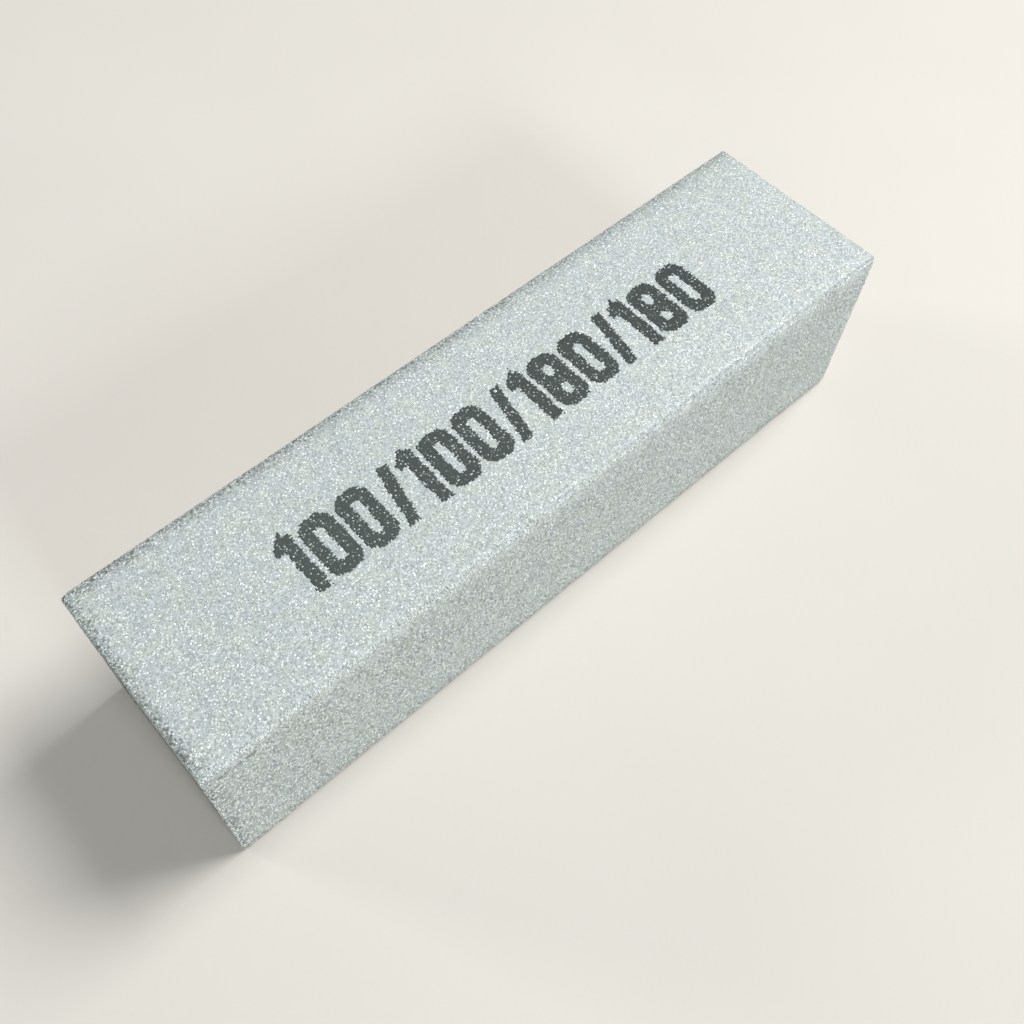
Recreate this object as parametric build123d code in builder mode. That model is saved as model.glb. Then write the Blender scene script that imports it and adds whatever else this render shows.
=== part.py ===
"""Nail buffer block: a foam bar with a sheet of abrasive paper glued to each of its four long faces.

The block stands on its bottom face. The origin is the middle of that face, +X runs along the
block, +Y points to its far side and +Z is up.
"""

from build123d import *
from math import cos, radians, sin
import os

# Driving dimensions, in millimetres.
block_length = 95.0
block_width = 24.5
block_height = 24.0

# One sheet of abrasive paper, from the foam outwards.
adhesive_thickness = 0.05
paper_thickness = 0.15
grit_thickness = 0.35

# The long edges of the block are worn round, down to the mitre where two grit coats meet.
long_edge_radius = 0.90

# The cut ends: the grit coat overhangs the paper and glue, and the foam stays a little short.
paper_setback = 0.15
core_setback = 0.20

# The printed mark names the grade of each face. Its ink soaks into the top grit coat.
mark_text = "100/100/180/180"
mark_height = 7.5
mark_stroke = 1.45
mark_gap = 0.60
mark_offset = -0.60
ink_depth = 0.10
numeral_width = 4.0
numeral_corner = 1.5
hole_corner = 0.5
one_width = 2.3
one_flag_drop = 1.7
slash_width = 2.8
slash_stroke = 1.3

# Sizes that follow from those above.
sheet_thickness = adhesive_thickness + paper_thickness + grit_thickness
core_width = block_width - 2 * sheet_thickness
core_height = block_height - 2 * sheet_thickness
paper_length = block_length - 2 * paper_setback

glyph_width = {"0": numeral_width, "8": numeral_width, "1": one_width, "/": slash_width}


def keep(part, name):
    """Label a finished piece and write it as parts/NAME.step."""
    part.label = name
    export_step(part, f"parts/{name}.step")
    print(f"{name}: {part.volume:.2f} cubic mm")


# ---------------------------------------------------------------- foam core


def make_core():
    """The foam bar that the four sheets are glued to."""
    with BuildPart() as core:
        with BuildSketch(Plane.XY.offset(sheet_thickness)):
            Rectangle(block_length - 2 * core_setback, core_width)
        extrude(amount=core_height)
    keep(core.part, "foam_core")


# ---------------------------------------------------------------- abrasive sheets

# Every layer of a sheet is drawn as a cross-section of the block and extruded along its length.
# A face is the top turned about the block's length, so that +Y of its section points outwards.
# The glue and paper of the top and bottom sheets lap over those of the near and far sheets.
face_turn = {"top": 0, "near": 90, "bottom": 180, "far": 270}


def section_plane(face):
    """The block's cross-section, centred on the block, with the face at the top of the drawing."""
    turn = radians(face_turn[face])
    return Plane(
        origin=(0, 0, block_height / 2), x_dir=(0, cos(turn), sin(turn)), z_dir=(1, 0, 0)
    )


def laps(face):
    """Whether the face's sheet lies over the edges of its neighbours."""
    return face in ("top", "bottom")


def core_size(face):
    """The foam's width along the face, and its reach from the middle of the block to the face."""
    return (core_width, core_height / 2) if laps(face) else (core_height, core_width / 2)


def make_plate(face, name, width, underside, thickness):
    """A plain layer with its underside that far from the middle of the block."""
    with BuildPart() as plate:
        with BuildSketch(section_plane(face)):
            with Locations((0, underside + thickness / 2)):
                Rectangle(width, thickness)
        extrude(amount=paper_length / 2, both=True)
    keep(plate.part, f"{face}_{name}")


def make_adhesive(face):
    """The film of glue that lies on the foam."""
    width, reach = core_size(face)
    lap = 2 * adhesive_thickness if laps(face) else 0
    make_plate(face, "adhesive", width + lap, reach, adhesive_thickness)


def make_paper(face):
    """The paper that carries the grit."""
    width, reach = core_size(face)
    lap = 2 * paper_thickness if laps(face) else 0
    paper_width = width + 2 * adhesive_thickness + lap
    make_plate(face, "paper", paper_width, reach + adhesive_thickness, paper_thickness)


def make_grit(face, ink=None):
    """The grains and their resin, mitred where two coats meet. Ink leaves it hollows to fill."""
    width, reach = core_size(face)
    half = width / 2 + sheet_thickness
    outer = reach + sheet_thickness
    flat = half - long_edge_radius
    arc_middle = radians(22.5)
    arc_end = radians(45)

    def worn(angle):
        """A point of the worn edge, that far round from the flat."""
        round_in = long_edge_radius * (1 - cos(angle))
        return flat + long_edge_radius * sin(angle), outer - round_in

    with BuildPart() as grit:
        with BuildSketch(section_plane(face)):
            with BuildLine():
                Line((0, outer), (flat, outer))
                ThreePointArc((flat, outer), worn(arc_middle), worn(arc_end))
                inner = (half - grit_thickness, outer - grit_thickness)
                Polyline(worn(arc_end), inner, (0, outer - grit_thickness))
                mirror(about=Plane.YZ)
            make_face()
        extrude(amount=block_length / 2, both=True)
        if ink:
            extrude(ink, amount=-ink_depth, mode=Mode.SUBTRACT)
    keep(grit.part, f"{face}_grit")


# ---------------------------------------------------------------- printed mark


def draw_nought(x, y):
    """A tall ring with rounded corners."""
    with Locations((x, y)):
        RectangleRounded(numeral_width, mark_height, numeral_corner)
        RectangleRounded(
            numeral_width - 2 * mark_stroke,
            mark_height - 2 * mark_stroke,
            hole_corner,
            mode=Mode.SUBTRACT,
        )


def draw_eight(x, y):
    """Two rings, one on the other, that share the stroke between them."""
    ring_height = (mark_height + mark_stroke) / 2
    ring_rise = (mark_height - ring_height) / 2
    hole_width = numeral_width - 2 * mark_stroke
    hole_height = ring_height - 2 * mark_stroke
    with Locations((x, y - ring_rise), (x, y + ring_rise)):
        RectangleRounded(numeral_width, ring_height, numeral_corner)
    with Locations((x, y - ring_rise), (x, y + ring_rise)):
        RectangleRounded(hole_width, hole_height, hole_corner, mode=Mode.SUBTRACT)


def draw_one(x, y):
    """An upright bar with a sloping flag at its upper left."""
    right = x + one_width / 2
    left = x - one_width / 2
    bar_left = right - mark_stroke
    top = y + mark_height / 2
    foot = y - mark_height / 2
    Polygon(
        (bar_left, foot),
        (right, foot),
        (right, top),
        (bar_left, top),
        (left, top - one_flag_drop / 2),
        (left, top - one_flag_drop),
        (bar_left, top - one_flag_drop),
        align=None,
    )


def draw_slash(x, y):
    """A leaning bar between two numbers."""
    half_width = slash_width / 2
    half_height = mark_height / 2
    Polygon(
        (x - half_width, y - half_height),
        (x - half_width + slash_stroke, y - half_height),
        (x + half_width, y + half_height),
        (x + half_width - slash_stroke, y + half_height),
        align=None,
    )


draw_glyph = {"0": draw_nought, "8": draw_eight, "1": draw_one, "/": draw_slash}


def mark_places():
    """Each character of the mark with the X of its middle, the whole row centred on the block."""
    row_length = sum(glyph_width[c] for c in mark_text) + mark_gap * (len(mark_text) - 1)
    left = -row_length / 2
    for character in mark_text:
        yield character, left + glyph_width[character] / 2
        left += glyph_width[character] + mark_gap


def draw_mark():
    """The outline of the whole mark, on the block's top face."""
    with BuildSketch(Plane.XY.offset(block_height)) as mark:
        for character, x in mark_places():
            draw_glyph[character](x, mark_offset)
    return mark.sketch


def make_mark(outline):
    """The ink, one solid for each character, flush with the top of the grit."""
    with BuildPart() as ink:
        extrude(outline, amount=-ink_depth)
    keep(ink.part, "grade_mark")


os.makedirs("parts", exist_ok=True)
make_core()
mark_outline = draw_mark()
for face_name in face_turn:
    make_adhesive(face_name)
    make_paper(face_name)
    make_grit(face_name, mark_outline if face_name == "top" else None)
make_mark(mark_outline)
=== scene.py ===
# %% [markdown]
# # A nail buffer block
#
# The real object is a bar of white foam with a sheet of coarse abrasive paper glued to each of its
# four long faces, and a row of numbers printed on the top sheet. It has no moving parts. What makes
# it look real is small: tens of thousands of sharp grains, each about a fifth of a millimetre wide,
# that stand in a grey-green resin and flash where they face a light.
#
# The finished CAD model gives every piece its place and size. This lesson starts from it and
# replaces its plain slabs with surfaces worked out in numpy, one piece at a time.

import math

import bpy
import numpy as np
from mathutils import Matrix, Vector


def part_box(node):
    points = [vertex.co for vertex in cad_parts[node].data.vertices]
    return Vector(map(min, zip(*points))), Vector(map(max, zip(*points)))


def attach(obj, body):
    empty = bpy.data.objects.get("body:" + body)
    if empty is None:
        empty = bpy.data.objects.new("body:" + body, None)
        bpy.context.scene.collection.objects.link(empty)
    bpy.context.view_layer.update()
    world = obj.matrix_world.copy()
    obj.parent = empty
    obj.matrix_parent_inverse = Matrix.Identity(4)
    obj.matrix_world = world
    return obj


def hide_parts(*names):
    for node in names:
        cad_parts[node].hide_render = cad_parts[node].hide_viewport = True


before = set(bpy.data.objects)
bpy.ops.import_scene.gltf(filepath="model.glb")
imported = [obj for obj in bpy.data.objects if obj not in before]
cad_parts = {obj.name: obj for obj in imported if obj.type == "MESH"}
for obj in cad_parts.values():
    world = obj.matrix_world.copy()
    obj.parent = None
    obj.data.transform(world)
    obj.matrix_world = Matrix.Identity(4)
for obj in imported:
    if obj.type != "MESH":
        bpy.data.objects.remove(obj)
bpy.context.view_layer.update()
MM = 0.001  # one millimetre in Blender's metres

# %% [markdown]
# ## The camera
#
# A camera is easiest to reason about as a place, a line of sight and a lens. `to_track_quat` turns
# the line of sight into a rotation with the picture's top kept up. The block is looked at from
# above its near left corner, close by, so its near end looks larger. A small lens shift moves it
# in the picture without turning the camera, which would change the perspective.

# %% Make the camera
CAMERA_PLACE = Vector((-0.0485, -0.0503, 0.1218))
CAMERA_SIGHT = Vector((0.3488, 0.3934, -0.8506))
CAMERA_ROLL = math.radians(0.41)
SENSOR_WIDTH = 36.0  # mm
LENS = 39.4  # mm
LENS_SHIFT = (0.032, -0.028)  # shares of the picture's width
NEAREST_SEEN = 0.005  # metres

camera_data = bpy.data.cameras.new("camera")
camera_data.sensor_width = SENSOR_WIDTH
camera_data.lens = LENS
camera_data.shift_x, camera_data.shift_y = LENS_SHIFT
camera_data.clip_start = NEAREST_SEEN
camera = bpy.data.objects.new("camera", camera_data)
turn = CAMERA_SIGHT.to_track_quat("-Z", "Y").to_matrix().to_4x4()
camera.matrix_world = Matrix.Translation(CAMERA_PLACE) @ turn @ Matrix.Rotation(CAMERA_ROLL, 4, "Z")
bpy.context.collection.objects.link(camera)
bpy.context.scene.camera = camera

# %% [markdown]
# ## Shader maths as plain expressions
#
# A material in Blender is a graph of nodes. Written by hand, a graph hides the idea in dozens of
# links. The class below wraps one output socket, so that `1 - mask * 0.5` adds its own Math nodes.
# Plain numbers are worked out in Python first, and only what varies over a surface becomes a node.

# %% A socket that can be added and multiplied
class Socket:
    """An output socket of a node. Arithmetic on it adds Math nodes to the same material."""

    def __init__(self, tree, output):
        self.tree = tree
        self.output = output

    def node(self, kind, settings=None, **inputs):
        """A new node of that type, its settings made first, then its inputs set or linked."""
        return add_node(self.tree, kind, settings, **inputs)

    def maths(self, operation, *values):
        """One Math node on this socket and the other values."""
        node = self.tree.nodes.new("ShaderNodeMath")
        node.operation = operation
        for place, value in zip(node.inputs, values):
            feed(self.tree, place, value)
        return Socket(self.tree, node.outputs[0])

    def __add__(self, other):
        return self.maths("ADD", self, other)

    def __radd__(self, other):
        return self.maths("ADD", other, self)

    def __sub__(self, other):
        return self.maths("SUBTRACT", self, other)

    def __rsub__(self, other):
        return self.maths("SUBTRACT", other, self)

    def __mul__(self, other):
        return self.maths("MULTIPLY", self, other)

    def __rmul__(self, other):
        return self.maths("MULTIPLY", other, self)

    def ramp(self, low, high, start=0.0, end=1.0):
        """start below low, end above high, and smooth between them."""
        node = self.tree.nodes.new("ShaderNodeMapRange")
        node.interpolation_type = "SMOOTHSTEP"
        for place, value in zip(node.inputs, (self, low, high, start, end)):
            feed(self.tree, place, value)
        return Socket(self.tree, node.outputs[0])


def feed(tree, place, value):
    """Links a Socket to an input, or sets the input to a plain value."""
    if isinstance(value, Socket):
        tree.links.new(value.output, place)
    elif place.type == "RGBA" and len(value) == 3:
        place.default_value = (*value, 1.0)
    else:
        place.default_value = value


def add_node(tree, kind, settings=None, **inputs):
    """A node of that type. An input's name is written with _ for each space."""
    node = tree.nodes.new(kind)
    for name, value in (settings or {}).items():
        setattr(node, name, value)
    for name, value in inputs.items():
        feed(tree, node.inputs[name.replace("_", " ")], value)
    return node


# %% Colour and vector helpers
def mix_colours(amount, first, second):
    """first where amount is 0, second where it is 1."""
    node = amount.tree.nodes.new("ShaderNodeMix")
    node.data_type = "RGBA"
    feed(amount.tree, node.inputs["Factor"], amount)
    feed(amount.tree, node.inputs[6], first)
    feed(amount.tree, node.inputs[7], second)
    return Socket(amount.tree, node.outputs[2])


def vector_maths(operation, first, second=None, scale=None):
    """One Vector Math node."""
    node = first.tree.nodes.new("ShaderNodeVectorMath")
    node.operation = operation
    feed(first.tree, node.inputs[0], first)
    if second is not None:
        feed(first.tree, node.inputs[1], second)
    if scale is not None:
        feed(first.tree, node.inputs["Scale"], scale)
    return Socket(first.tree, node.outputs[0])


def new_material(name):
    """An empty material: its tree, its shader node and its Object coordinates."""
    material = bpy.data.materials.new(name)
    material.use_nodes = True
    tree = material.node_tree
    shader = tree.nodes["Principled BSDF"]
    place = Socket(tree, tree.nodes.new("ShaderNodeTexCoord").outputs["Object"])
    return material, tree, shader, place


def noise(place, size_mm, detail=2.0, roughness=0.5):
    """Smooth noise from 0 to 1 whose blobs are about size_mm across."""
    settings = {"noise_dimensions": "3D"}
    node = place.node(
        "ShaderNodeTexNoise", settings, Vector=place, Scale=1 / (size_mm * MM), Detail=detail,
        Roughness=roughness,
    )
    return Socket(place.tree, node.outputs["Fac"])


def cells(place, size_mm, randomness=1.0):
    """Voronoi cells about size_mm across: (distance from the cell's middle, a random colour each)."""
    node = place.node(
        "ShaderNodeTexVoronoi", {"feature": "F1"}, Vector=place, Scale=1 / (size_mm * MM),
        Randomness=randomness,
    )
    return Socket(place.tree, node.outputs["Distance"]), Socket(place.tree, node.outputs["Color"])


def channels(colour):
    """The three numbers of a colour."""
    node = colour.node("ShaderNodeSeparateColor", None, Color=colour)
    return [Socket(colour.tree, output) for output in node.outputs]


# %% [markdown]
# ## Meshes from whole arrays
#
# Each new surface below is a grid of points. A helper turns arrays of points and corner numbers
# into a mesh in one go with `foreach_set`, which is hundreds of times faster than adding vertices
# one at a time. The object itself stays at the origin, and its place is in its points.

# %% Put arrays into a mesh
def put_mesh(name, points_mm, faces, material, extras=None):
    """A mesh object from points and a list of face arrays, each array with one face a row.

    extras holds a number or a vector for each point, which the material can read by its name.
    """
    mesh = bpy.data.meshes.new(name)
    corners = np.concatenate([f.ravel() for f in faces])
    sizes = np.concatenate([np.full(len(f), f.shape[1]) for f in faces])
    mesh.vertices.add(len(points_mm))
    mesh.vertices.foreach_set("co", (points_mm * MM).astype(np.float32).ravel())
    mesh.loops.add(len(corners))
    mesh.loops.foreach_set("vertex_index", corners.astype(np.int32))
    mesh.polygons.add(len(sizes))
    mesh.polygons.foreach_set("loop_start", (np.cumsum(sizes) - sizes).astype(np.int32))
    mesh.update(calc_edges=True)
    for extra, values in (extras or {}).items():
        kind, field = ("FLOAT", "value") if values.ndim == 1 else ("FLOAT_VECTOR", "vector")
        mesh.attributes.new(extra, kind, "POINT").data.foreach_set(field, values.ravel())
    mesh.materials.append(material)
    piece = bpy.data.objects.new(name, mesh)
    bpy.context.collection.objects.link(piece)
    print(f"{name}: {len(points_mm)} points, {int((sizes - 2).sum())} triangles")
    return piece


def grid_quads(rows, columns):
    """The corner numbers of every quad of a grid of rows by columns points."""
    first = (np.arange(rows - 1)[:, None] * columns + np.arange(columns - 1)).ravel()
    return np.stack([first, first + columns, first + columns + 1, first + 1], axis=1)


# %% [markdown]
# ## Where each sheet lies
#
# Every sheet is made flat first, with x along it, y across it and z out of it, and then stood on its
# own face of the block. The frame says where: the middle of a CAD node's box, pushed out by half
# its thickness, is the middle of the sheet's outer face.

# %% The four faces
FACE_AXES = {
    "top": ((1, 0, 0), (0, 1, 0)),
    "bottom": ((1, 0, 0), (0, -1, 0)),
    "near": ((1, 0, 0), (0, 0, 1)),
    "far": ((-1, 0, 0), (0, 0, 1)),
}


class Face:
    """A CAD layer as a flat sheet: its size, and how to stand points made flat on the block."""

    def __init__(self, side, layer):
        low, high = (np.array(corner, float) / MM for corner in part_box(f"{side}_{layer}"))
        along, across = (np.array(axis, float) for axis in FACE_AXES[side])
        outwards = np.cross(along, across)
        self.turn = np.stack([along, across, outwards])
        self.length, self.width, self.thickness = np.abs(self.turn @ (high - low))
        self.middle = (low + high) / 2 + outwards * self.thickness / 2

    def stand(self, points):
        """Flat points, in millimetres, moved onto this face of the block."""
        return self.middle + points @ self.turn


# %% [markdown]
# ## A worn sheet
#
# Abrasive paper doesn't keep a sharp corner. The grains along a fold or a cut break out first, so the
# edge goes round. The sheet is made by unrolling it: a point (s, t) of the grid is on the flat while
# it is inside the outline, and past it the extra length goes round an arc and then straight down
# the cut. Along the block's long edges two sheets meet, so each of them only goes an eighth of a
# turn round, to the mitre. At the ends a sheet has a free edge and goes a quarter turn.

# %% Roll a flat grid over the edges of a sheet
LONG_EDGE = (0.90, math.radians(45))  # radius in mm, and how far round it goes
END_EDGE = (0.45, math.radians(60))


def unrolled(half_flat, wrap, spacing):
    """Numbers from -(half_flat + wrap) to half_flat + wrap, close to spacing apart."""
    inner = np.linspace(-half_flat, half_flat, math.ceil(2 * half_flat / spacing) + 1)
    steps = max(2, math.ceil(wrap / spacing))
    edge = half_flat + wrap * np.arange(1, steps + 1) / steps
    return np.concatenate([-edge[::-1], inner, edge])


def over_edge(past, radius, turn):
    """How far out and down a point is that lies past mm beyond the flat, and how far down the cut.

    The angle is past / radius, at most turn. Out is radius * sin(angle), and down is
    radius * (1 - cos(angle)) plus what is left of past, which is the way down the cut.
    """
    angle = np.minimum(past / radius, turn)
    cut = (past - radius * turn).clip(0)
    return radius * np.sin(angle), radius * (1 - np.cos(angle)) + cut, cut


def worn_sheet(face, spacing, end_edge, long_edge, corner_radii):
    """Places and outward directions of a grid that covers a sheet's top and its edges.

    The two directions are worked out apart and joined: what is left of the thickness at a point is
    the product of the shares left by its way over the end and over the long edge. In plan, each
    corner's square [0, R] x [0, R] is squeezed to a quarter disc by max(x, y) / hypot(x, y). The
    outward direction is the cross product of the steps to the next row and the next column.
    """
    size = np.array([face.length, face.width]) / 2
    lines, pasts = [], []
    for half, (radius, turn) in zip(size, (end_edge, long_edge)):
        half_flat = half - radius * math.sin(turn)
        wrap = radius * turn + face.thickness - radius * (1 - math.cos(turn))
        lines.append(unrolled(half_flat, wrap, spacing))
        pasts.append((np.abs(lines[-1]) - half_flat).clip(0))
    s, t = np.meshgrid(*lines, indexing="ij")
    past_s, past_t = np.meshgrid(*pasts, indexing="ij")
    out_s, down_s, _ = over_edge(past_s, *end_edge)
    out_t, down_t, cut_t = over_edge(past_t, *long_edge)
    x = np.sign(s) * (np.abs(s) - past_s + out_s)
    y = np.sign(t) * (np.abs(t) - past_t + out_t)
    left = (1 - down_s / face.thickness) * (1 - down_t / face.thickness)
    # The corner radii are listed by end and then by side, the negative ones first.
    radius = np.array(corner_radii)[(s > 0) * 2 + (t > 0)]
    in_x = (np.abs(x) - (size[0] - radius)).clip(0)
    in_y = (np.abs(y) - (size[1] - radius)).clip(0)
    squeeze = np.maximum(in_x, in_y) / np.maximum(np.hypot(in_x, in_y), 1e-9) - 1
    in_corner = (in_x > 0) & (in_y > 0)
    x = x + np.where(in_corner, np.sign(x) * in_x * squeeze, 0)
    y = y + np.where(in_corner, np.sign(y) * in_y * squeeze, 0)
    places = np.stack([x, y, face.thickness * (left - 1)], axis=-1)
    outwards = np.cross(np.gradient(places, axis=0), np.gradient(places, axis=1))
    outwards /= np.maximum(np.linalg.norm(outwards, axis=-1, keepdims=True), 1e-12)
    return s, t, places, outwards, cut_t > 0


def close_under(rows, columns):
    """Faces that close a sheet underneath: a strip of quads, and one many-sided face at each end."""
    first_column = np.arange(rows) * columns
    last_column = first_column + columns - 1
    a, b = first_column[1:-2], first_column[2:-1]
    c, d = last_column[2:-1], last_column[1:-2]
    left = np.concatenate([[first_column[1]], np.arange(columns), [last_column[1]]])
    right_row = (rows - 1) * columns + np.arange(columns)[::-1]
    right = np.concatenate([[last_column[-2]], right_row, [first_column[-2]]])
    return [np.stack([a, b, c, d], axis=1), left[None], right[None]]


# %% [markdown]
# ## The relief of the grit
#
# Under a lens, abrasive paper is a crowd of broken crystals, each leaning its own way, with dark
# gaps of resin between them. A Voronoi pattern says the same thing in numbers: every point belongs
# to its nearest seed, and each seed gets its own height and its own lean. The difference between
# the distances to the nearest and the second nearest seed is small along the gaps.
#
# Noise functions of Blender could displace the mesh too, but numpy gives the heights back as an
# array, and the printed mark needs the same heights later to lie on exactly the same grains.

# %% Grains as leaning cells
GROOVE_WIDTH = 0.35  # share of a grain's size
GROOVE_DEPTH = 0.35  # share of the relief's depth
HIGHEST_GRAIN = 1.6  # a level plus a lean of this much reaches the top of the relief
GRAIN_RANGE = 3.2


def grain_relief(s, t, size, seed):
    """Height from -1 to 0 of a bed of grains about size mm wide.

    Seeds sit on a grid of squares, each moved at random inside its square. A grain's height is its
    own random level plus its own slope times the way from its seed, less a groove at its border.
    """
    random = np.random.default_rng(seed)
    columns = np.floor((s - s.min()) / size).astype(int) + 2
    rows = np.floor((t - t.min()) / size).astype(int) + 2
    shape = (columns.max() + 3, rows.max() + 3)
    shift = random.random((2, *shape))
    level = random.random(shape)
    slope = random.normal(0, 1, (2, *shape))
    nearest = np.full(s.shape, np.inf)
    second = np.full(s.shape, np.inf)
    height = np.zeros(s.shape)
    for step_s in (-1, 0, 1):
        for step_t in (-1, 0, 1):
            at = (columns + step_s, rows + step_t)
            away_s = s - s.min() - (at[0] - 2 + shift[0][at]) * size
            away_t = t - t.min() - (at[1] - 2 + shift[1][at]) * size
            distance = np.hypot(away_s, away_t)
            own = level[at] + (slope[0][at] * away_s + slope[1][at] * away_t) / size
            closer = distance < nearest
            second = np.where(closer, nearest, np.minimum(second, distance))
            height = np.where(closer, own, height)
            nearest = np.minimum(nearest, distance)
    groove = (1 - (second - nearest) / (GROOVE_WIDTH * size)).clip(0, 1)
    return ((height - HIGHEST_GRAIN) / GRAIN_RANGE - GROOVE_DEPTH * groove).clip(-1, 0)


def gentle_waves(s, t, size, seed):
    """A slow swell between -1 and 1: the mean of six sine waves about size mm long."""
    random = np.random.default_rng(seed)
    total = np.zeros(np.shape(s))
    for angle, phase, stretch in zip(*random.random((3, 6))):
        way = 2 * math.pi * np.array([math.cos(2 * math.pi * angle), math.sin(2 * math.pi * angle)])
        total += np.sin((way[0] * s + way[1] * t) / (size * (0.7 + stretch)) + 2 * math.pi * phase)
    return total / 6


# %% [markdown]
# ## The finish of the grit
#
# Three things happen at once on a real grain. Its colour is silver-white, over a grey-green resin
# that shows in the gaps. Its faces lean at random, so a few of them flash. And the flash is sharp,
# because a broken crystal is smooth. The mesh has the larger leans already. The material adds the
# facets that are too small for it: a random colour per Voronoi cell, used as a vector, tilts the
# normal, and another number of the same cell picks the grain's brightness and gloss.

# %% Grit material
DARK_GRAIN = (0.310, 0.345, 0.330)
GREEN_GRAIN = (0.530, 0.585, 0.540)
BLUE_GRAIN = (0.505, 0.560, 0.570)
# The near-white of the specks is partly the crystals' own white and partly a painted glint. The same
# colour is the painted light along the near coat's upper edge.
SPECK_WHITE_AND_PAINTED_LIGHT = (0.86, 0.89, 0.87)
RESIN_AND_PAINTED_SHADE = (0.175, 0.195, 0.178)
FACET_LEAN = 0.32
FLASH_LEAN = 1.15
SPECK_SIZE = 1.5  # in facets
BREAKUP_SIZE = 0.22  # mm
PATCH_SIZE = 2.2  # mm
MINERAL_IOR = 1.6


def grit_material(name, facet_mm, contrast, speck_share):
    """Silver-white grains in grey-green resin, with facets about facet_mm wide.

    speck_share of the larger cells are specks: clean crystals that lean further. They are painted
    near-white, partly their own white and partly a painted glint.
    contrast, near 1, says how much darker the dull grains are than the clear ones.

    Where the mesh's own wear number is above 0 the dark resin colour shows: partly worn grains, and
    partly painted shade on edges, mitres and the crease. Below 0 the grains are painted paler, a
    painted light. Its own vector bend leans the shading towards an edge.
    """
    material, tree, shader, place = new_material(name)
    _, facet_colour = cells(place, facet_mm)
    _, gloss, tone = channels(facet_colour)
    patches = noise(place, PATCH_SIZE)
    pale = mix_colours(patches.ramp(0.38, 0.62), GREEN_GRAIN, BLUE_GRAIN)
    dull = tuple(value * (1.6 - 0.6 * contrast) for value in DARK_GRAIN)
    colour = mix_colours(tone.ramp(-0.2, 0.8), dull, pale)
    speck_away, speck_own = cells(place, facet_mm * SPECK_SIZE)
    speck = channels(speck_own)[2].ramp(0.96 - speck_share, 1.04 - speck_share)
    flash = speck * (1 - speck_away.ramp(0.30, 0.55))
    paint_attribute_node = place.node("ShaderNodeAttribute", {"attribute_name": "wear_shade_light"})
    wear_shade_light = Socket(tree, paint_attribute_node.outputs["Fac"])
    _, breakup_cells = cells(place, BREAKUP_SIZE)
    cell_breakup = channels(breakup_cells)[0]
    # Above 0 the number bares the resin colour: worn grains and painted shade.
    bare_resin_and_painted_shade = (wear_shade_light * 1.5 - cell_breakup).ramp(-0.1, 0.5)
    # Below 0 the number paints the grains paler, towards the specks' near-white: a painted light.
    painted_paler = (0 - wear_shade_light).ramp(0.0, 1.0)
    grain = mix_colours(flash, mix_colours(painted_paler, colour, SPECK_WHITE_AND_PAINTED_LIGHT), SPECK_WHITE_AND_PAINTED_LIGHT)
    feed(tree, shader.inputs["Base Color"], mix_colours(bare_resin_and_painted_shade * (1 - flash * 0.8), grain, RESIN_AND_PAINTED_SHADE))
    feed(tree, shader.inputs["Roughness"], gloss * 0.35 + 0.35 - flash * 0.22)
    bend_node = place.node("ShaderNodeAttribute", {"attribute_name": "bend"})
    bend = Socket(tree, bend_node.outputs["Vector"])
    smooth = Socket(tree, tree.nodes.new("ShaderNodeNewGeometry").outputs["Normal"])
    normal = vector_maths("ADD", smooth, bend)
    tilt = vector_maths("SUBTRACT", mix_colours(flash, facet_colour, speck_own), (0.5, 0.5, 0.5))
    amount = flash * FLASH_LEAN + FACET_LEAN
    tilted = vector_maths("ADD", normal, vector_maths("SCALE", tilt, scale=amount))
    feed(tree, shader.inputs["Normal"], vector_maths("NORMALIZE", tilted))
    shader.inputs["IOR"].default_value = MINERAL_IOR
    return material


coarse_grit = grit_material("coarse_grit", facet_mm=0.14, contrast=1.10, speck_share=0.24)
shaded_grit = grit_material("shaded_grit", facet_mm=0.21, contrast=1.55, speck_share=0.30)
fine_grit = grit_material("fine_grit", facet_mm=0.11, contrast=1.3, speck_share=0.20)

# %% [markdown]
# ## The grit coats
#
# A coat is the worn sheet, sunk everywhere by the relief of its grains, so that its highest grains
# reach the size that the CAD model gives and no further. The top and near faces carry coarse grit
# and the other two fine grit. The corners differ, as they do on a block that has been handled. The
# near coat has a short crease near one corner, two millimetres under its upper edge, where the
# block has been pinched. Its groove is also painted dark, a painted shade.
#
# The near side is the same paper as the top, but the light grazes it. The small shadows between its
# grains are too fine for the mesh, so its own material draws them, with larger facets and darker
# dull grains.
#
# Foam gives under a sheet that was pulled tight round it, so the whole block looks a little
# pillowy towards its edges. That shape is far too shallow for the thin coats to hold, and only
# the way that it turns the light shows, so each point also carries the direction to lean to.

# %% Make the four coats
COARSE = {"grain": 0.21, "depth": 0.065, "material": coarse_grit, "slot": "coarse_grit"}
FINE = {"grain": 0.17, "depth": 0.050, "material": fine_grit, "slot": "fine_grit"}
NEAR = {**COARSE, "material": shaded_grit}
GRIT = {"top": COARSE, "near": NEAR, "bottom": FINE, "far": FINE}
# The radius in mm of each corner in plan: (-x, -y), (-x, +y), (+x, -y), (+x, +y).
CORNERS = {
    "top": (0.35, 1.3, 0.25, 0.25),
    "near": (0.5, 0.35, 0.25, 0.25),
    "bottom": (0.3, 0.4, 0.3, 0.3),
    "far": (0.3, 0.3, 0.3, 1.0),
}
# The crease, in mm: its middle along the sheet, how far it runs each way, how far under the edge it
# is, how wide and how deep, how much it strays and over what length. Then how dark its groove is
# painted, a painted shade.
CREASE_MIDDLE = -42.6
CREASE_REACH = 4.8
CREASE_UNDER_EDGE = 2.1
CREASE_WIDTH = 0.30
CREASE_DEPTH = 0.12
CREASE_STRAY = 0.16
CREASE_STRAY_LENGTH = 4.0
CREASE_BREAK_LENGTH = 1.8
CREASE_PAINTED_SHADE = 0.95
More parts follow.
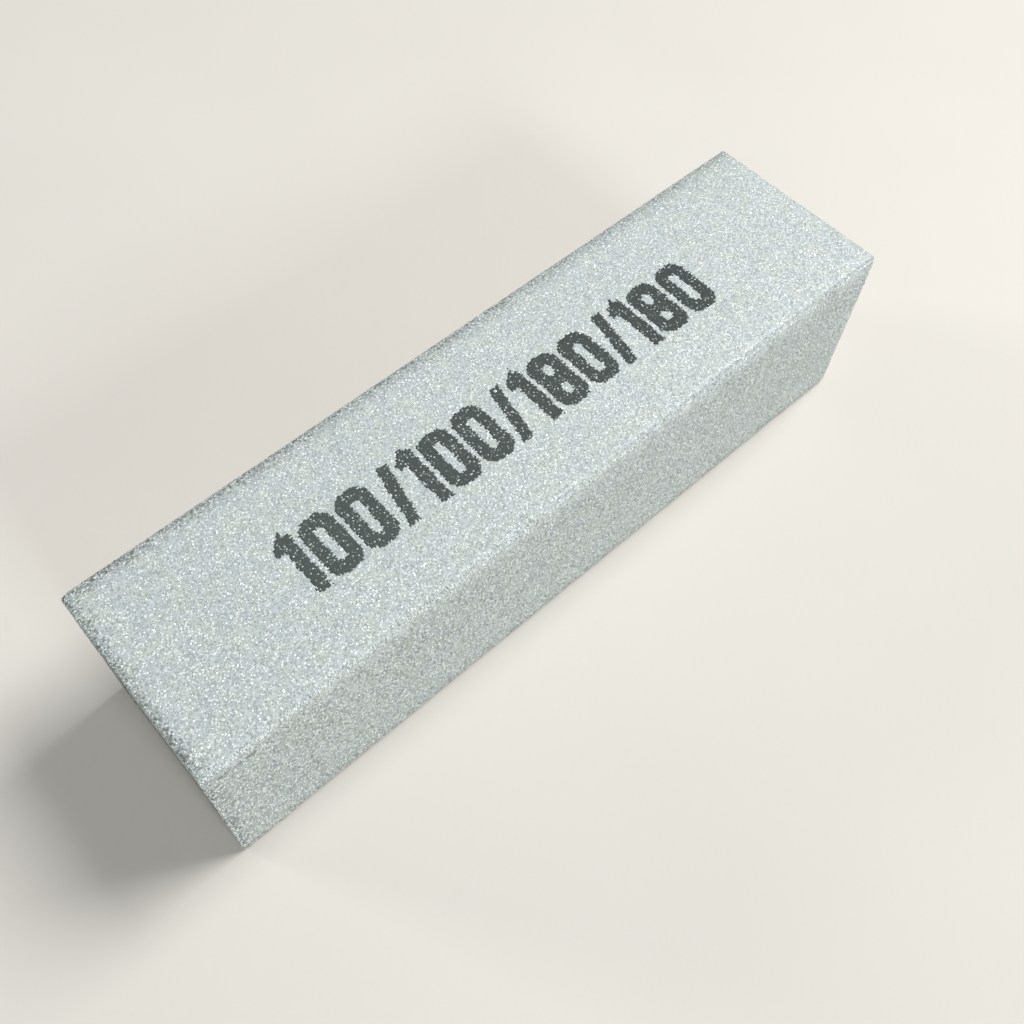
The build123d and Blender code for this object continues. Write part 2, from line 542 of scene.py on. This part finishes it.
# How far the whole sheet and its edges swell, in mm, and over what length.
SWELL_DEPTH = 0.02
SWELL_LENGTH = 14.0
EDGE_SWELL_DEPTH = 0.05
EDGE_SWELL_LENGTH = 4.0
# How far in from the edge the sheet starts to lean, and how far it leans at the edge. The light
# grazes the near side, where a lean would turn the upper edge dark all at once. So the top and the
# near coat don't lean at the edge that they share. Instead the near coat's upper edge is painted
# paler, a painted light that softens the step to the top.
SOFT_END = (1.6, math.radians(35))
SOFT_LONG = (2.8, math.radians(45))
FIRM_EDGE = {"top": -1, "near": 1}
# How dark each sheet's -y edge, its +y edge and its -x end are made, and how many millimetres in
# from the edge the band reaches. Along the top's far edge and left end and the near coat's left end
# the bands are partly worn grains and partly painted shade, where those edges turn from the key
# light. Below 0 the grains are painted paler than the rest, a painted light.
EDGE_WEAR_AND_PAINTED_LIGHT = {
    "top": ((0.06, 2.0), (0.62, 2.2), (0.58, 2.2)),
    "near": ((0.30, 2.0), (-0.50, 4.5), (0.62, 2.0)),
    "bottom": ((0.40, 2.0), (0.40, 2.0), (0.40, 2.0)),
    "far": ((0.35, 2.0), (0.25, 2.0), (0.45, 2.0)),
}
# A painted shade along every long edge, gone 0.8 mm in: it darkens the bright line that the lights put on
# the rounded mitre.
SEAM_PAINTED_SHADE = (0.22, 0.8)
# The long edges' bands are painted darker towards the left end, which faces away from the key
# light: a painted shade. They go from all of it there to this share at the right end.
EDGE_BAND_SHARE_AT_RIGHT = 0.30
GRIT_SPACING = 0.165


def fading(amount, band, inside):
    """amount at an edge, going evenly to nothing band mm in from it."""
    return amount * (1 - inside / band).clip(0, 1)


def soft_bend(side, face, places, outwards):
    """What to add to the outward direction so that the sheet seems to give near its edges.

    At d mm in from an edge the lean is turn * (1 - d / band) ** 2. The wanted direction is
    (tan of the end's lean, tan of the long edge's lean, 1) as a unit vector. Where the surface
    itself leans further already, nothing is added.
    """
    leans = []
    for axis, half, (band, turn) in ((0, face.length / 2, SOFT_END), (1, face.width / 2, SOFT_LONG)):
        at = places[..., axis]
        share = (1 - (half - np.abs(at)) / band).clip(0, 1)
        leans.append(np.sign(at) * np.tan(turn * share**2))
    leans[1] = leans[1] * (np.sign(places[..., 1]) != FIRM_EDGE.get(side))
    wanted = np.stack([*leans, np.ones(at.shape)], axis=-1)
    wanted /= np.linalg.norm(wanted, axis=-1, keepdims=True)
    return np.where(outwards[..., 2:] > wanted[..., 2:], wanted - outwards, 0)


coats = {}
for number, (side, grit) in enumerate(GRIT.items()):
    face = Face(side, "grit")
    s, t, places, outwards, on_mitre = worn_sheet(
        face, GRIT_SPACING, END_EDGE, LONG_EDGE, CORNERS[side]
    )
    relief = grain_relief(s, t, grit["grain"], seed=10 + number)
    swell = gentle_waves(s, t, SWELL_LENGTH, seed=20 + number)
    edge_swell = gentle_waves(s, t, EDGE_SWELL_LENGTH, seed=30 + number)
    lean = (1 - outwards[..., 2]).clip(0, 1)
    crease = np.zeros(s.shape)
    if side == "near":
        under = face.width / 2 - places[..., 1] - CREASE_UNDER_EDGE
        stray = CREASE_STRAY * gentle_waves(s, s * 0, CREASE_STRAY_LENGTH, seed=35)
        across = (under + stray) / CREASE_WIDTH
        crease = np.exp(-(across**2) - ((s - CREASE_MIDDLE) / CREASE_REACH) ** 4)
        crease = crease * (0.7 + 0.3 * gentle_waves(s, s * 0, CREASE_BREAK_LENGTH, seed=36))
    sink = grit["depth"] * relief + SWELL_DEPTH * (swell - 1)
    sink = sink + EDGE_SWELL_DEPTH * lean * (edge_swell - 1)
    sink = np.where(on_mitre, 0, sink - CREASE_DEPTH * crease)
    surface = places + outwards * sink[..., None]
    rows, columns = s.shape
    faces = [grid_quads(rows, columns), *close_under(rows, columns)]
    # Bands along the edges: worn grains, painted shade, and below 0 a painted light.
    minus_y, plus_y, minus_x = EDGE_WEAR_AND_PAINTED_LIGHT[side]
    from_long = face.width / 2 - np.abs(places[..., 1])
    long_edge_wear_and_paint = np.where(t < 0, fading(*minus_y, from_long), fading(*plus_y, from_long))
    end_wear_and_shade = fading(*minus_x, face.length / 2 + places[..., 0])
    # Painted shade: the long edges' bands fade towards the right end, nearer the key light.
    to_right = 0.5 + face.turn[0, 0] * places[..., 0] / face.length
    fades_to_right = 1 - (1 - EDGE_BAND_SHARE_AT_RIGHT) * to_right
    bands_of_wear_and_paint = np.maximum(long_edge_wear_and_paint * fades_to_right, end_wear_and_shade) + long_edge_wear_and_paint.clip(None, 0)
    wear_shade_light = bands_of_wear_and_paint * (0.8 + 0.5 * edge_swell)
    # Painted shade along the mitres and in the crease.
    wear_shade_light = wear_shade_light + fading(*SEAM_PAINTED_SHADE, from_long) + CREASE_PAINTED_SHADE * crease
    bend = soft_bend(side, face, places, outwards).reshape(-1, 3) @ face.turn
    stood = face.stand(surface.reshape(-1, 3))
    extras = {"wear_shade_light": wear_shade_light.clip(-1, 1).ravel(), "bend": bend}
    coat = put_mesh(f"{side}_grit_coat", stood, faces, grit["material"], extras)
    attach(coat, "root")
    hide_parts(f"{side}_grit")
    coats[side] = {
        "face": face, "surface": surface, "outwards": outwards, "relief": relief,
        "covered": np.zeros(s.shape, bool),
    }

# %% [markdown]
# ## The printed mark
#
# The mark is ink stamped on rough grit. It has no thickness to speak of, it follows every grain, its
# outline is ragged, and where a grain stands high the ink is rubbed off. So it is cut from the top
# coat's own grid: the cells of the grid that lie inside the numbers, lifted by about a hundredth
# of a millimetre. Whether a point lies inside is worked out from signed distances: a distance to an
# outline that is negative inside, so that the smaller of two joins shapes and the larger of one
# and minus another cuts a hole.

# %% Signed distances of the numbers
MARK = "100/100/180/180"
STROKE = 1.45
GAP = 0.60
NUMERAL_WIDTH = 4.0
ONE_WIDTH = 2.3
SLASH_WIDTH = 2.8
SLASH_STROKE = 1.3
ONE_FLAG_DROP = 1.7
OUTER_CORNER = 1.5
HOLE_CORNER = 0.5
WIDTHS = {"0": NUMERAL_WIDTH, "8": NUMERAL_WIDTH, "1": ONE_WIDTH, "/": SLASH_WIDTH}


def rounded_box(x, y, width, height, corner):
    """Distance to a box with round corners: distance to the box shrunk by corner, less corner."""
    away_x = np.abs(x) - width / 2 + corner
    away_y = np.abs(y) - height / 2 + corner
    outside = np.hypot(away_x.clip(0), away_y.clip(0))
    return outside + np.minimum(np.maximum(away_x, away_y), 0) - corner


def nought(x, y, height):
    """A box with round corners, less a smaller one."""
    hole = rounded_box(x, y, NUMERAL_WIDTH - 2 * STROKE, height - 2 * STROKE, HOLE_CORNER)
    return np.maximum(rounded_box(x, y, NUMERAL_WIDTH, height, OUTER_CORNER), -hole)


def eight(x, y, height):
    """Two rings that share the stroke between them."""
    ring = (height + STROKE) / 2
    rise = (height - ring) / 2
    lifted = [y - rise, y + rise]
    rings = [rounded_box(x, up, NUMERAL_WIDTH, ring, OUTER_CORNER) for up in lifted]
    hole_width, hole_height = NUMERAL_WIDTH - 2 * STROKE, ring - 2 * STROKE
    holes = [rounded_box(x, up, hole_width, hole_height, HOLE_CORNER) for up in lifted]
    return np.maximum(np.minimum(*rings), -np.minimum(*holes))


def one(x, y, height):
    """An upright bar, joined with a flag whose top slopes up to the bar."""
    bar = np.maximum(np.abs(x - (ONE_WIDTH - STROKE) / 2) - STROKE / 2, np.abs(y) - height / 2)
    flag_top = height / 2 - ONE_FLAG_DROP / 2 * (1 - (x + ONE_WIDTH / 2) / (ONE_WIDTH - STROKE))
    flag = np.maximum(np.abs(x) - ONE_WIDTH / 2, np.maximum(y - flag_top, height / 2 - ONE_FLAG_DROP - y))
    return np.minimum(bar, np.maximum(flag, x - ONE_WIDTH / 2 + STROKE / 2))


def slash(x, y, height):
    """The band between two parallel slanting lines."""
    lean = (SLASH_WIDTH - SLASH_STROKE) / height
    across = (np.abs(x - lean * y) - SLASH_STROKE / 2) / math.hypot(1, lean)
    return np.maximum(across, np.abs(y) - height / 2)


SHAPES = {"0": nought, "8": eight, "1": one, "/": slash}


def mark_distance(x, y, height):
    """Distance to the nearest character of the mark, the row centred on x = 0."""
    left = -(sum(WIDTHS[c] for c in MARK) + GAP * (len(MARK) - 1)) / 2
    nearest = np.full(x.shape, np.inf)
    for character in MARK:
        middle = left + WIDTHS[character] / 2
        nearest = np.minimum(nearest, SHAPES[character](x - middle, y, height))
        left += WIDTHS[character] + GAP
    return nearest


# %% Cut the ink from the top coat's grid
INK_LIFT = 0.012  # mm
INK_DEPTH = 0.03  # mm
RAGGED = 0.26  # mm
SPREAD = 0.02  # mm
FLAT_ENOUGH = 0.99  # the cosine of the steepest slope that takes ink
RUBBED_ABOVE = 0.86  # share of the grains that lie lower
RUBBED_SHARE = 0.32


def without_diagonals(mask):
    """Fills one cell wherever two cells of the mask meet only at a corner."""
    a, b, c, d = mask[:-1, :-1], mask[:-1, 1:], mask[1:, :-1], mask[1:, 1:]
    filled = mask.copy()
    filled[:-1, :-1] |= b & c & ~a & ~d
    filled[:-1, 1:] |= a & d & ~b & ~c
    return filled


def ink_skin(surface, outwards, mask):
    """A closed skin over the masked cells: the cells lifted, the same cells sunk, and walls between.

    A wall stands on each side of a masked cell whose neighbour there isn't masked.
    """
    rows, columns = surface.shape[:2]
    lifted = surface + outwards * INK_LIFT
    sunk = surface - outwards * INK_DEPTH
    points = np.concatenate([lifted.reshape(-1, 3), sunk.reshape(-1, 3)])
    under = rows * columns
    quads = grid_quads(rows, columns)[mask.ravel()]
    faces = [quads, quads[:, ::-1] + under]
    padded = np.pad(mask, 1)
    bare_resin_and_painted_shade = (
        padded[1:-1, :-2], padded[2:, 1:-1], padded[1:-1, 2:], padded[:-2, 1:-1],
    )
    for side, neighbour in enumerate(bare_resin_and_painted_shade):
        edge = grid_quads(rows, columns)[(mask & ~neighbour).ravel()]
        first, second = edge[:, side], edge[:, (side + 1) % 4]
        faces.append(np.stack([second, first, first + under, second + under], axis=1))
    used, corners = np.unique(np.concatenate(faces), return_inverse=True)
    return points[used], corners.reshape(-1, 4)


low, high = (np.array(corner, float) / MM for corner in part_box("grade_mark"))
coat = coats["top"]
centres = (coat["surface"][:-1, :-1] + coat["surface"][1:, 1:]) / 2
mark_middle = (low + high) / 2 - coat["face"].middle
mark_height = high[1] - low[1]
random = np.random.default_rng(60)
grain_at = (coat["relief"][:-1, :-1] + coat["relief"][1:, 1:]) / 2
distance = mark_distance(
    centres[..., 0] - mark_middle[0], centres[..., 1] - mark_middle[1], mark_height
)
ragged = distance + RAGGED * (random.random(distance.shape) - 0.5) - SPREAD
inked = (ragged < 0) & (coat["outwards"][:-1, :-1, 2] > FLAT_ENOUGH)
highest = np.quantile(grain_at, RUBBED_ABOVE)
rubbed = (grain_at > highest) & (random.random(distance.shape) < RUBBED_SHARE)
inked = without_diagonals(without_diagonals(inked & ~rubbed))
coat["covered"] = mark_distance(
    coat["surface"][..., 0] - mark_middle[0], coat["surface"][..., 1] - mark_middle[1], mark_height
) < 0

# %% Ink material
LIGHT_INK = ((0.062, 0.076, 0.070), (0.076, 0.092, 0.084))
# The ink towards its right end, painted darker as a painted shade.
SHADED_INK = ((0.040, 0.050, 0.046), (0.050, 0.062, 0.056))
THIN_INK = (0.36, 0.40, 0.38)
INK_FACET = 0.13  # mm
INK_BLOTCH = 2.5  # mm
INK_LEAN = 0.20
INK_SHADE_FROM, INK_SHADE_TO = -45 * MM, 45 * MM


def ink_material():
    """Dark grey-green matte ink, thin on the crests of the grains, where they glint through.

    The ink is painted darker towards its right end, nearer the key light: a painted shade that
    evens out the sheen that the light gives the ink there.
    """
    material, tree, shader, place = new_material("mark_ink")
    _, facet_colour = cells(place, INK_FACET)
    _, gloss, tone = channels(facet_colour)
    split = place.node("ShaderNodeSeparateXYZ", None, Vector=place)
    # Painted shade: the ink darkens from its left end to its right end.
    ink_shade_share = Socket(tree, split.outputs["X"]).ramp(INK_SHADE_FROM, INK_SHADE_TO)
    blotches = noise(place, INK_BLOTCH)
    light_ink = mix_colours(blotches, *LIGHT_INK)
    shaded_ink = mix_colours(blotches, *SHADED_INK)
    thin = tone.ramp(0.93, 1.0)
    body = mix_colours(ink_shade_share, light_ink, shaded_ink)
    feed(tree, shader.inputs["Base Color"], mix_colours(thin, body, THIN_INK))
    feed(tree, shader.inputs["Roughness"], gloss * 0.2 + 0.65)
    shader.inputs["Specular IOR Level"].default_value = 0.30
    normal = Socket(tree, tree.nodes.new("ShaderNodeNewGeometry").outputs["Normal"])
    tilt = vector_maths("SUBTRACT", facet_colour, (0.5, 0.5, 0.5))
    tilted = vector_maths("ADD", normal, vector_maths("SCALE", tilt, scale=INK_LEAN))
    feed(tree, shader.inputs["Normal"], vector_maths("NORMALIZE", tilted))
    return material


points, faces = ink_skin(coat["surface"], coat["outwards"], inked)
ink = put_mesh("mark_ink_skin", coat["face"].stand(points), [faces], ink_material())
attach(ink, "root")
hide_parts("grade_mark")

# %% [markdown]
# ## Proud crystals
#
# Here and there a crystal stands on end, higher than its neighbours. These catch the light first and
# they make the outline of the block rough. The ink glued most of them down, so only a few stand
# out of the mark. Each one is an octahedron with its six corners moved at random, only eight
# triangles, because there are thousands of them. One array holds them all: corners times size,
# turned by its own random rotation, and put on a point of the coat.

# %% Scatter crystals over the coats
LEANS_OVER = 0.95  # the cosine of the slope where a sheet's edge begins
OCTAHEDRON = np.array([[1, 0, 0], [-1, 0, 0], [0, 1, 0], [0, -1, 0], [0, 0, 1], [0, 0, -1]], float)
OCTAHEDRON_FACES = np.array(
    [[0, 2, 4], [2, 1, 4], [1, 3, 4], [3, 0, 4], [2, 0, 5], [1, 2, 5], [3, 1, 5], [0, 3, 5]]
)


def random_turns(random, count):
    """Rotation matrices, evenly spread: a unit four-vector of normal numbers as a quaternion."""
    w, x, y, z = (q := random.normal(size=(4, count))) / np.linalg.norm(q, axis=0)
    return np.array([
        [1 - 2 * (y * y + z * z), 2 * (x * y - w * z), 2 * (x * z + w * y)],
        [2 * (x * y + w * z), 1 - 2 * (x * x + z * z), 2 * (y * z - w * x)],
        [2 * (x * z - w * y), 2 * (y * z + w * x), 1 - 2 * (x * x + y * y)],
    ]).transpose(2, 0, 1)


def crystals(coat, count, edge_count, size, proud, seed):
    """Corners and faces of crystals on a coat, some of them only on its worn edges.

    Where the coat says that it is covered by ink, only a small share of them is kept.
    """
    random = np.random.default_rng(seed)
    surface = coat["surface"].reshape(-1, 3)
    outwards = coat["outwards"].reshape(-1, 3)
    on_edge = np.flatnonzero(outwards[:, 2] < LEANS_OVER)
    chosen = np.concatenate([
        random.integers(0, len(surface), count), random.choice(on_edge, edge_count),
    ])
    kept = random.random(len(chosen)) < THROUGH_INK
    chosen = chosen[kept | ~coat["covered"].ravel()[chosen]]
    half = size * random.uniform(0.55, 1.0, (len(chosen), 1, 1))
    shape = OCTAHEDRON * random.uniform(0.6, 1.15, (len(chosen), 6, 1)) * half
    shape = shape @ random_turns(random, len(chosen))
    middle = surface[chosen] + outwards[chosen] * (proud - half[:, 0] * 0.6)
    points = (middle[:, None] + shape).reshape(-1, 3)
    faces = (np.arange(len(chosen))[:, None, None] * 6 + OCTAHEDRON_FACES).reshape(-1, 3)
    return points, faces


def crystal_material():
    """Clear, hard crystals: nearly white, smooth, and each a little different."""
    material, tree, shader, place = new_material("proud_crystals")
    _, own = cells(place, 0.28)
    tone, gloss, _ = channels(own)
    feed(tree, shader.inputs["Base Color"], mix_colours(tone, (0.60, 0.65, 0.63), (0.93, 0.96, 0.94)))
    feed(tree, shader.inputs["Roughness"], gloss * 0.30 + 0.16)
    shader.inputs["IOR"].default_value = 1.7
    return material


proud_crystals = crystal_material()
THROUGH_INK = 0.12
# For each coat: how many, how many more on its edges, their size and how far they stand out in mm.
CRYSTALS = {
    "top": (9000, 1500, 0.085, 0.05),
    "near": (11000, 1500, 0.155, 0.08),
    "far": (11000, 1200, 0.105, 0.05),
    "bottom": (3000, 1000, 0.065, 0.00),
}
for number, (side, (count, edge_count, size, proud)) in enumerate(CRYSTALS.items()):
    points, faces = crystals(coats[side], count, edge_count, size, proud, seed=40 + number)
    if side == "bottom":
        points[:, 2] = points[:, 2].clip(None, 0)
    stood = coats[side]["face"].stand(points)
    piece = put_mesh(f"{side}_crystals", stood, [faces], proud_crystals)
    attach(piece, "root")

# %% [markdown]
# ## Paper and glue
#
# The paper and the glue only show as fine lines where a sheet was cut. A knife leaves paper a
# little fuzzy and glue a little stringy, so their edges wander by a few hundredths of a millimetre.
# They are the same worn sheet with almost no radius at its edges, and with the coat's own corners,
# so that no paper shows past a rounded corner of the grit.

# %% Make the papers and the glue films
def paper_material():
    """Grey latex paper: short fibres, drawn as noise stretched along the sheet."""
    material, tree, shader, place = new_material("backing_paper")
    stretched = place.node("ShaderNodeMapping", {"vector_type": "POINT"}, Vector=place, Scale=(0.4, 1, 1))
    fibres = noise(Socket(tree, stretched.outputs[0]), 0.12, detail=4.0)
    feed(tree, shader.inputs["Base Color"], mix_colours(fibres, (0.20, 0.22, 0.21), (0.42, 0.44, 0.42)))
    feed(tree, shader.inputs["Roughness"], fibres * 0.2 + 0.7)
    bump = place.node("ShaderNodeBump", None, Height=fibres, Distance=0.03 * MM, Strength=0.8)
    feed(tree, shader.inputs["Normal"], Socket(tree, bump.outputs[0]))
    return material


def glue_material():
    """Clear, slightly yellow glue with dust on its cut edge."""
    material, tree, shader, place = new_material("glue_film")
    dust = noise(place, 0.3, detail=3.0)
    feed(tree, shader.inputs["Base Color"], mix_colours(dust, (0.62, 0.60, 0.46), (0.40, 0.40, 0.34)))
    feed(tree, shader.inputs["Roughness"], dust.ramp(0.3, 0.7, 0.2, 0.6))
    return material


SHEET_SPACING = 0.5  # mm
FRAY_LENGTH = 2.0  # mm
# wander is how far, in mm, the cut edge strays inwards.
LAYERS = {
    "paper": {"wander": 0.03, "slot": "backing_paper", "material": paper_material()},
    "adhesive": {"wander": 0.01, "slot": "adhesive", "material": glue_material()},
}
for number, side in enumerate(FACE_AXES):
    for layer, look in LAYERS.items():
        face = Face(side, layer)
        blunt = (face.thickness / 4, math.radians(90))
        s, t, places, outwards, _ = worn_sheet(face, SHEET_SPACING, blunt, blunt, CORNERS[side])
        random = np.random.default_rng(70 + number)
        at_edge = (1 - outwards[..., 2]).clip(0, 1)
        waves = gentle_waves(s, t, FRAY_LENGTH, seed=80 + number)
        wander = look["wander"] * (waves - random.random(s.shape))
        surface = places + outwards * (at_edge * (wander - look["wander"]) / 2)[..., None]
        rows, columns = s.shape
        faces = [grid_quads(rows, columns), *close_under(rows, columns)]
        stood = face.stand(surface.reshape(-1, 3))
        piece = put_mesh(f"{side}_{layer}_sheet", stood, faces, look["material"])
        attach(piece, "root")
        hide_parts(f"{side}_{layer}")

# %% [markdown]
# ## The foam core
#
# The core is closed-cell foam, cut with a fine saw. A cut opens the bubbles that it crosses, so the
# ends are covered with shallow round cups of many sizes, with thin walls between them. Each end is
# a grid sunk by two layers of cups, large and small, and by the shallow lines of the saw. The four
# long faces are under the sheets, so one strip of long quads round the block joins the two ends
# and closes the mesh.

# %% Cups of opened bubbles
def bubble_cups(y, z, size, seed):
    """Depth in mm of opened bubbles about size mm apart.

    Seeds are scattered as for the grains. A bubble of radius R cut at its own depth leaves a cup
    sqrt(R * R - distance * distance) deep, less the part of the bubble above the cut.
    """
    random = np.random.default_rng(seed)
    columns = np.floor((y - y.min()) / size).astype(int) + 2
    rows = np.floor((z - z.min()) / size).astype(int) + 2
    shape = (columns.max() + 3, rows.max() + 3)
    shift = random.random((2, *shape))
    radius = size * random.uniform(0.20, 0.55, shape)
    above = radius * random.uniform(0.35, 0.95, shape)
    deepest = np.zeros(y.shape)
    for step_y in (-1, 0, 1):
        for step_z in (-1, 0, 1):
            at = (columns + step_y, rows + step_z)
            away_y = y - y.min() - (at[0] - 2 + shift[0][at]) * size
            away_z = z - z.min() - (at[1] - 2 + shift[1][at]) * size
            inside = radius[at] ** 2 - away_y**2 - away_z**2
            deepest = np.maximum(deepest, np.sqrt(inside.clip(0)) - above[at])
    return deepest


def end_ring(rows, columns):
    """The border of a grid, once round."""
    grid = np.arange(rows * columns).reshape(rows, columns)
    return np.concatenate([grid[0, :-1], grid[:-1, -1], grid[-1, :0:-1], grid[:0:-1, 0]])


# %% Make the core
def foam_material():
    """White foam: small cells of their own tone, with a bump for the walls between them."""
    material, tree, shader, place = new_material("white_foam")
    away, own = cells(place, 0.16)
    tone, _, _ = channels(own)
    patches = noise(place, 4.0)
    cell_tone = mix_colours(tone, (0.52, 0.54, 0.52), (0.66, 0.67, 0.65))
    shade = mix_colours(patches.ramp(0.3, 0.7), (0.58, 0.59, 0.56), (0.64, 0.65, 0.63))
    feed(tree, shader.inputs["Base Color"], mix_colours(away.ramp(0.2, 0.9), shade, cell_tone))
    feed(tree, shader.inputs["Roughness"], tone * 0.15 + 0.75)
    bump = place.node("ShaderNodeBump", None, Height=away, Distance=0.05 * MM, Strength=0.7)
    feed(tree, shader.inputs["Normal"], Socket(tree, bump.outputs[0]))
    return material


FOAM_SPACING = 0.115
LARGE_CUPS, SMALL_CUPS = 0.85, 0.38  # mm apart
CUP_SHARE = 0.7  # how much of a cup's full depth is kept
SAW_DEPTH, SAW_STEP = 0.012, 0.55  # mm
SAW_STRAY, SAW_STRAY_LENGTH = 0.2, 6.0  # mm
DISH_DEPTH, DISH_LENGTH = 0.05, 9.0  # mm
low, high = (np.array(corner, float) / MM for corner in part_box("foam_core"))
steps = np.ceil((high - low)[1:] / FOAM_SPACING).astype(int)
y, z = np.meshgrid(
    np.linspace(low[1], high[1], steps[0] + 1), np.linspace(low[2], high[2], steps[1] + 1),
    indexing="ij",
)
ends = []
for end, (x, inwards) in enumerate(((low[0], 1), (high[0], -1))):
    cups = bubble_cups(y, z, LARGE_CUPS, seed=90 + end) + bubble_cups(y, z, SMALL_CUPS, seed=92 + end)
    strayed = z + SAW_STRAY * gentle_waves(y, z, SAW_STRAY_LENGTH, seed=94)
    saw = SAW_DEPTH * (1 + np.sin(2 * math.pi * strayed / SAW_STEP))
    dish = DISH_DEPTH * (1 + gentle_waves(y, z, DISH_LENGTH, seed=96 + end))
    depth = CUP_SHARE * cups + saw + dish
    ends.append(np.stack([x + inwards * depth, y, z], axis=-1).reshape(-1, 3))
rows, columns = y.shape
quads = grid_quads(rows, columns)
ring = end_ring(rows, columns)
following = np.roll(ring, -1)
other = rows * columns
faces = [
    quads[:, ::-1],
    quads + other,
    np.stack([ring, following, following + other, ring + other], axis=1),
]
core = put_mesh("foam_bar", np.concatenate(ends), faces, foam_material())
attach(core, "root")
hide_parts("foam_core")

# %% [markdown]
# ## Floor and lights
#
# The block lies on pale matte card. A real card isn't perfectly even, so its colour wanders by a
# few hundredths and it has a fine tooth. The key light stands high on the right, about a metre
# away and half a metre wide, so grains flash but shadows stay soft. A weaker, cooler light from
# the front makes the near side sparkle, a weaker one still does the same for the far side and
# the left end, and an even sky keeps the shadows from going black.

# %% Floor and lights
floor_material, tree, shader, place = new_material("pale_floor")
clouds = noise(place, 60.0, detail=3.0).ramp(0.3, 0.7)
feed(tree, shader.inputs["Base Color"], mix_colours(clouds, (0.668, 0.636, 0.580), (0.690, 0.657, 0.600)))
tooth = noise(place, 0.5, detail=2.0)
feed(tree, shader.inputs["Roughness"], tooth * 0.10 + 0.72)
card_bump = place.node("ShaderNodeBump", None, Height=tooth, Distance=0.02 * MM, Strength=0.3)
feed(tree, shader.inputs["Normal"], Socket(tree, card_bump.outputs[0]))
FLOOR_HALF = 1500.0  # mm
square = np.array([[-1, -1, 0], [1, -1, 0], [1, 1, 0], [-1, 1, 0]]) * FLOOR_HALF
floor = put_mesh("floor", square, [np.array([[0, 1, 2, 3]])], floor_material)


def soft_light(name, direction, distance, size, power, colour):
    """A square area light that looks at the block from that direction."""
    light = bpy.data.lights.new(name, "AREA")
    light.color = colour
    light.size = size
    light.energy = power
    lamp = bpy.data.objects.new(name, light)
    away = Vector(direction).normalized()
    lamp.location = away * distance
    lamp.rotation_euler = away.to_track_quat("Z", "Y").to_euler()
    bpy.context.collection.objects.link(lamp)


soft_light("key_light", (0.60, -0.13, 0.79), 1.10, 0.50, 12.0, (1.0, 1.0, 1.0))
soft_light("front_fill", (-0.05, -0.88, 0.48), 0.9, 0.18, 2.5, (0.90, 0.97, 1.0))
soft_light("rear_glint", (-0.50, 0.78, 0.38), 0.9, 0.18, 1.5, (0.97, 0.99, 1.0))

SKY_COLOUR = (0.95, 0.97, 1.0, 1.0)
SKY_STRENGTH = 0.26
world = bpy.data.worlds.new("studio")
world.use_nodes = True
world.node_tree.nodes["Background"].inputs["Color"].default_value = SKY_COLOUR
world.node_tree.nodes["Background"].inputs["Strength"].default_value = SKY_STRENGTH
bpy.context.scene.world = world
bpy.context.scene.view_settings.view_transform = "Standard"
